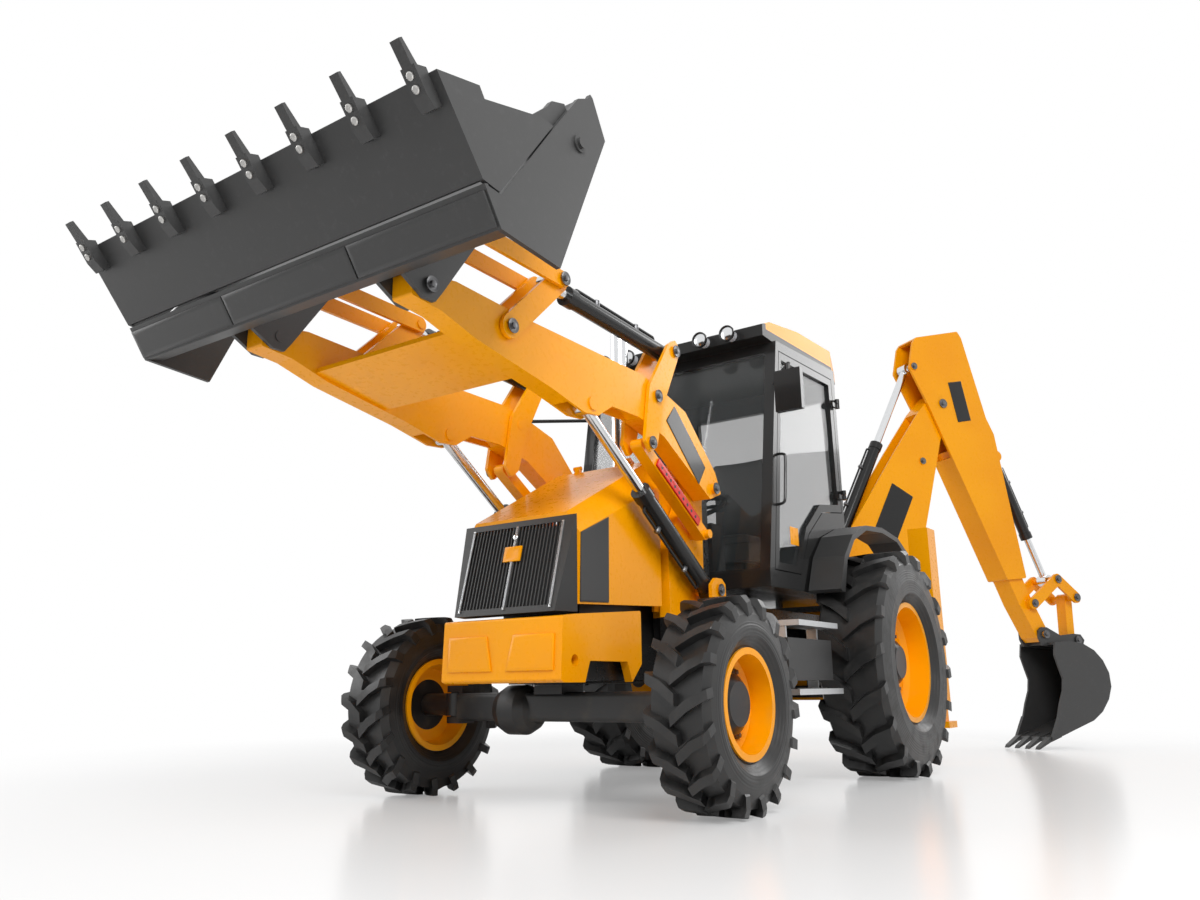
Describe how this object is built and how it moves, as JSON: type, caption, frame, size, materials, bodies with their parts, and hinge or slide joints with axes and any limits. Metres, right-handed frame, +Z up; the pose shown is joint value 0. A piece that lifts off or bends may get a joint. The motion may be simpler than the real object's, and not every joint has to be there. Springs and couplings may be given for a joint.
{
  "type": "backhoe loader",
  "caption": "Tractor with an enclosed cab, a front loader with a raised split bucket on parallel-lift arms, and a sideshift backhoe with an extending dipper, parked folded.",
  "frame": {"origin": "on the ground, under the middle of the parked machine's outline", "axes": "+Z up, the machine faces -Y, +X is its left side"},
  "size_m": [2.886, 8.2542, 3.7572],
  "materials": {
    "aluminium": "satin",
    "amber": "gloss",
    "black": "satin",
    "bucket": "satin",
    "chrome": "polished",
    "glass": "clear",
    "iron": "cast",
    "lamp": "clear",
    "plastic": "matte",
    "rod": "polished",
    "tyre": "matte"
  },
  "bodies": {
    "chassis": {"chassis_frame": "amber", "engine_block": "iron", "nose_casting": "amber", "front_axle": "iron", "rear_axle": "iron", "cab_frame": "black", "cab_glass": "glass", "cab_roof": "amber", "rear_fenders": "plastic", "cab_interior": "plastic", "side_tanks": "plastic", "exhaust": "chrome", "lamps": "lamp", "mirrors": "amber", "side_steps": "aluminium"},
    "bonnet": {"bonnet": "amber", "grille": "plastic"},
    "loader_bucket": {"bucket_back": "bucket"},
    "door_left": {"door_left": "black", "door_left_glass": "glass"},
    "door_right": {"door_right": "black", "door_right_glass": "glass"},
    "front_left_wheel": {"front_left_rim": "amber", "front_left_tyre": "tyre"},
    "front_right_wheel": {"front_right_rim": "amber", "front_right_tyre": "tyre"},
    "rear_left_wheel": {"rear_left_rim": "amber", "rear_left_tyre": "tyre"},
    "rear_right_wheel": {"rear_right_rim": "amber", "rear_right_tyre": "tyre"},
    "knuckle_left": {"knuckle_left": "iron"},
    "knuckle_right": {"knuckle_right": "iron"},
    "stabiliser_left": {"stabiliser_left": "amber"},
    "stabiliser_right": {"stabiliser_right": "amber"},
    "loader_arms": {"loader_arms": "amber"},
    "rear_levers": {"rear_levers": "amber"},
    "lower_links": {"lower_links": "amber"},
    "lift_barrels": {"lift_barrels": "black"},
    "lift_rods": {"lift_rods": "rod"},
    "tilt_barrels": {"tilt_barrels": "black"},
    "tilt_rods": {"tilt_rods": "rod"},
    "front_levers": {"front_levers": "amber"},
    "tipping_links": {"tipping_links": "amber"},
    "bucket_jaw": {"bucket_jaw": "bucket"},
    "sideshift_carriage": {"sideshift_carriage": "amber"},
    "swing_post": {"swing_post": "amber"},
    "boom": {"boom": "amber"},
    "boom_ram_barrel": {"boom_ram_barrel": "black"},
    "boom_ram_rod": {"boom_ram_rod": "rod"},
    "dipper_ram_barrel": {"dipper_ram_barrel": "black"},
    "dipper_ram_rod": {"dipper_ram_rod": "rod"},
    "dipper": {"dipper": "amber"},
    "dipper_extension": {"dipper_extension": "amber"},
    "hoe_lever": {"hoe_lever": "amber"},
    "hoe_link": {"hoe_link": "amber"},
    "bucket_ram_barrel": {"bucket_ram_barrel": "black"},
    "bucket_ram_rod": {"bucket_ram_rod": "rod"},
    "hoe_bucket": {"hoe_bucket": "bucket"}
  },
  "joints": [
    {"name": "steer_left", "type": "hinge", "parent": "chassis", "child": "knuckle_left", "pos_m": [0.44701, -1.92223, 0.485], "axis": [0, 0, 1], "range_deg": [-40, 40]},
    {"name": "steer_right", "type": "hinge", "parent": "chassis", "child": "knuckle_right", "pos_m": [-0.99299, -1.92223, 0.485], "axis": [0, 0, 1], "range_deg": [-41, 41]},
    {"name": "front_left_roll", "type": "hinge", "parent": "knuckle_left", "child": "front_left_wheel", "pos_m": [0.69701, -1.92223, 0.485], "axis": [1, 0, 0], "continuous": true},
    {"name": "front_right_roll", "type": "hinge", "parent": "knuckle_right", "child": "front_right_wheel", "pos_m": [-1.24299, -1.92223, 0.485], "axis": [1, 0, 0], "continuous": true},
    {"name": "rear_left_roll", "type": "hinge", "parent": "chassis", "child": "rear_left_wheel", "pos_m": [0.68201, 0.27777, 0.7], "axis": [1, 0, 0], "continuous": true},
    {"name": "rear_right_roll", "type": "hinge", "parent": "chassis", "child": "rear_right_wheel", "pos_m": [-1.22799, 0.27777, 0.7], "axis": [1, 0, 0], "continuous": true},
    {"name": "door_left_hinge", "type": "hinge", "parent": "chassis", "child": "door_left", "pos_m": [0.48901, 0.26777, 1.5], "axis": [0, 0, 1], "range_deg": [0, 80]},
    {"name": "door_right_hinge", "type": "hinge", "parent": "chassis", "child": "door_right", "pos_m": [-1.03499, 0.26777, 1.5], "axis": [0, 0, -1], "range_deg": [0, 80]},
    {"name": "bonnet_hinge", "type": "hinge", "parent": "chassis", "child": "bonnet", "pos_m": [-0.27299, -1.50973, 1.82], "axis": [-1, 0, 0], "range_deg": [0, 50]},
    {"name": "lift", "type": "hinge", "parent": "chassis", "child": "loader_arms", "pos_m": [-0.27299, -1.15623, 1.666], "axis": [-1, 0, 0], "range_deg": [-48, 38]},
    {"name": "lower_link_turn", "type": "hinge", "parent": "chassis", "child": "lower_links", "pos_m": [-0.27299, -1.22523, 1.397], "axis": [-1, 0, 0], "range_deg": [-49, 39]},
    {"name": "rear_lever_turn", "type": "hinge", "parent": "loader_arms", "child": "rear_levers", "pos_m": [-0.27299, -1.77523, 2.067], "axis": [-1, 0, 0], "range_deg": [-39, 49]},
    {"name": "lift_barrel_turn", "type": "hinge", "parent": "chassis", "child": "lift_barrels", "pos_m": [-0.27299, -1.17123, 1.085], "axis": [-1, 0, 0], "range_deg": [-39.01, 31.09]},
    {"name": "lift_rod_slide", "type": "slide", "parent": "lift_barrels", "child": "lift_rods", "axis": [0, -0.8185, 0.5745], "range_m": [-0.41612, 0.32964]},
    {"name": "bucket_tilt", "type": "hinge", "parent": "loader_arms", "child": "loader_bucket", "pos_m": [-0.27299, -3.45223, 2.12], "axis": [1, 0, 0], "range_deg": [0, 135]},
    {"name": "front_lever_turn", "type": "hinge", "parent": "loader_arms", "child": "front_levers", "pos_m": [-0.27299, -2.96223, 2.097], "axis": [1, 0, 0], "range_deg": [-1, 107.34]},
    {"name": "tipping_link_turn", "type": "hinge", "parent": "front_levers", "child": "tipping_links", "pos_m": [-0.27299, -2.61923, 2.433], "axis": [1, 0, 0], "range_deg": [-77.3, 1]},
    {"name": "tilt_barrel_turn", "type": "hinge", "parent": "rear_levers", "child": "tilt_barrels", "pos_m": [-0.27299, -1.57623, 2.374], "axis": [-1, 0, 0], "range_deg": [-40.26, 32.08]},
    {"name": "tilt_rod_slide", "type": "slide", "parent": "tilt_barrels", "child": "tilt_rods", "axis": [0, -0.9984, 0.0565], "range_m": [-0.001, 0.80375]},
    {"name": "jaw_hinge", "type": "hinge", "parent": "loader_bucket", "child": "bucket_jaw", "pos_m": [-0.27299, -3.22123, 2.649], "axis": [-1, 0, 0], "range_deg": [0, 70]},
    {"name": "sideshift", "type": "slide", "parent": "chassis", "child": "sideshift_carriage", "axis": [-1, 0, 0], "range_m": [-0.55, 0.55]},
    {"name": "swing", "type": "hinge", "parent": "sideshift_carriage", "child": "swing_post", "pos_m": [-0.27299, 1.63777, 0.8], "axis": [0, 0, 1], "range_deg": [-57, 123]},
    {"name": "boom_hinge", "type": "hinge", "parent": "swing_post", "child": "boom", "pos_m": [-0.12049, 1.8726, 0.72], "axis": [-0.8387, 0.5446, 0], "range_deg": [-15, 105]},
    {"name": "boom_barrel_turn", "type": "hinge", "parent": "swing_post", "child": "boom_ram_barrel", "pos_m": [-0.20763, 1.73841, 1.25], "axis": [-0.8387, 0.5446, 0], "range_deg": [-15.59, 103.13]},
    {"name": "boom_rod_slide", "type": "slide", "parent": "boom_ram_barrel", "child": "boom_ram_rod", "axis": [0.3328, 0.5125, 0.7915], "range_m": [-0.12777, 0.88838]},
    {"name": "dipper_hinge", "type": "hinge", "parent": "boom", "child": "dipper", "pos_m": [0.45301, 2.75572, 3.031], "axis": [0.8387, -0.5446, 0], "range_deg": [-12, 80]},
    {"name": "dipper_barrel_turn", "type": "hinge", "parent": "boom", "child": "dipper_ram_barrel", "pos_m": [-0.16406, 1.8055, 1.76], "axis": [0.8387, -0.5446, 0], "range_deg": [-5.89, 1.73]},
    {"name": "dipper_rod_slide", "type": "slide", "parent": "dipper_ram_barrel", "child": "dipper_ram_rod", "axis": [0.2553, 0.3931, 0.8833], "range_m": [-0.53699, 0.0814]},
    {"name": "extension", "type": "slide", "parent": "dipper", "child": "dipper_extension", "axis": [0.2156, 0.332, -0.9183], "range_m": [0, 1]},
    {"name": "hoe_bucket_hinge", "type": "hinge", "parent": "dipper_extension", "child": "hoe_bucket", "pos_m": [0.93502, 3.49794, 0.978], "axis": [0.8387, -0.5446, 0], "range_deg": [-45, 62]},
    {"name": "hoe_lever_turn", "type": "hinge", "parent": "dipper_extension", "child": "hoe_lever", "pos_m": [0.87838, 3.41072, 1.248], "axis": [0.8387, -0.5446, 0], "range_deg": [-36.01, 49.24]},
    {"name": "hoe_link_turn", "type": "hinge", "parent": "hoe_bucket", "child": "hoe_link", "pos_m": [1.14307, 3.81831, 0.93], "axis": [0.8387, -0.5446, 0], "range_deg": [-48.2, 35.26]},
    {"name": "bucket_barrel_turn", "type": "hinge", "parent": "dipper_extension", "child": "bucket_ram_barrel", "pos_m": [0.79287, 3.27905, 2.602], "axis": [0.8387, -0.5446, 0], "range_deg": [-5.82, 4.5]},
    {"name": "bucket_rod_slide", "type": "slide", "parent": "bucket_ram_barrel", "child": "bucket_ram_rod", "axis": [0.2062, 0.3175, -0.9256], "range_m": [-0.25837, 0.1878]},
    {"name": "stabiliser_left_slide", "type": "slide", "parent": "chassis", "child": "stabiliser_left", "axis": [0, 0, -1], "range_m": [0, 0.5]},
    {"name": "stabiliser_right_slide", "type": "slide", "parent": "chassis", "child": "stabiliser_right", "axis": [0, 0, -1], "range_m": [0, 0.5]}
  ],
  "couplings": [
    {"joint": "steer_right", "follows": "steer_left", "ratio": 1},
    {"joint": "lower_link_turn", "follows": "lift", "ratio": 1},
    {"joint": "rear_lever_turn", "follows": "lift", "ratio": -1},
    {"joint": "lift_barrel_turn", "follows": "lift", "ratio": 0.79188},
    {"joint": "lift_rod_slide", "follows": "lift", "m_per_rad": 0.49551},
    {"joint": "front_lever_turn", "follows": "bucket_tilt", "ratio": 0.7877},
    {"joint": "tipping_link_turn", "follows": "bucket_tilt", "ratio": -0.56518},
    {"joint": "tilt_barrel_turn", "follows": "lift", "ratio": 0.81793},
    {"joint": "tilt_rod_slide", "follows": "bucket_tilt", "m_per_rad": 0.3407},
    {"joint": "boom_barrel_turn", "follows": "boom_hinge", "ratio": 0.97267},
    {"joint": "boom_rod_slide", "follows": "boom_hinge", "m_per_rad": 0.48422},
    {"joint": "dipper_barrel_turn", "follows": "dipper_hinge", "ratio": -0.061066},
    {"joint": "dipper_rod_slide", "follows": "dipper_hinge", "m_per_rad": -0.38387},
    {"joint": "hoe_lever_turn", "follows": "hoe_bucket_hinge", "ratio": 0.77809},
    {"joint": "hoe_link_turn", "follows": "hoe_bucket_hinge", "ratio": -0.76126},
    {"joint": "bucket_barrel_turn", "follows": "hoe_bucket_hinge", "ratio": -0.077708},
    {"joint": "bucket_rod_slide", "follows": "hoe_bucket_hinge", "m_per_rad": -0.23784}
  ]
}
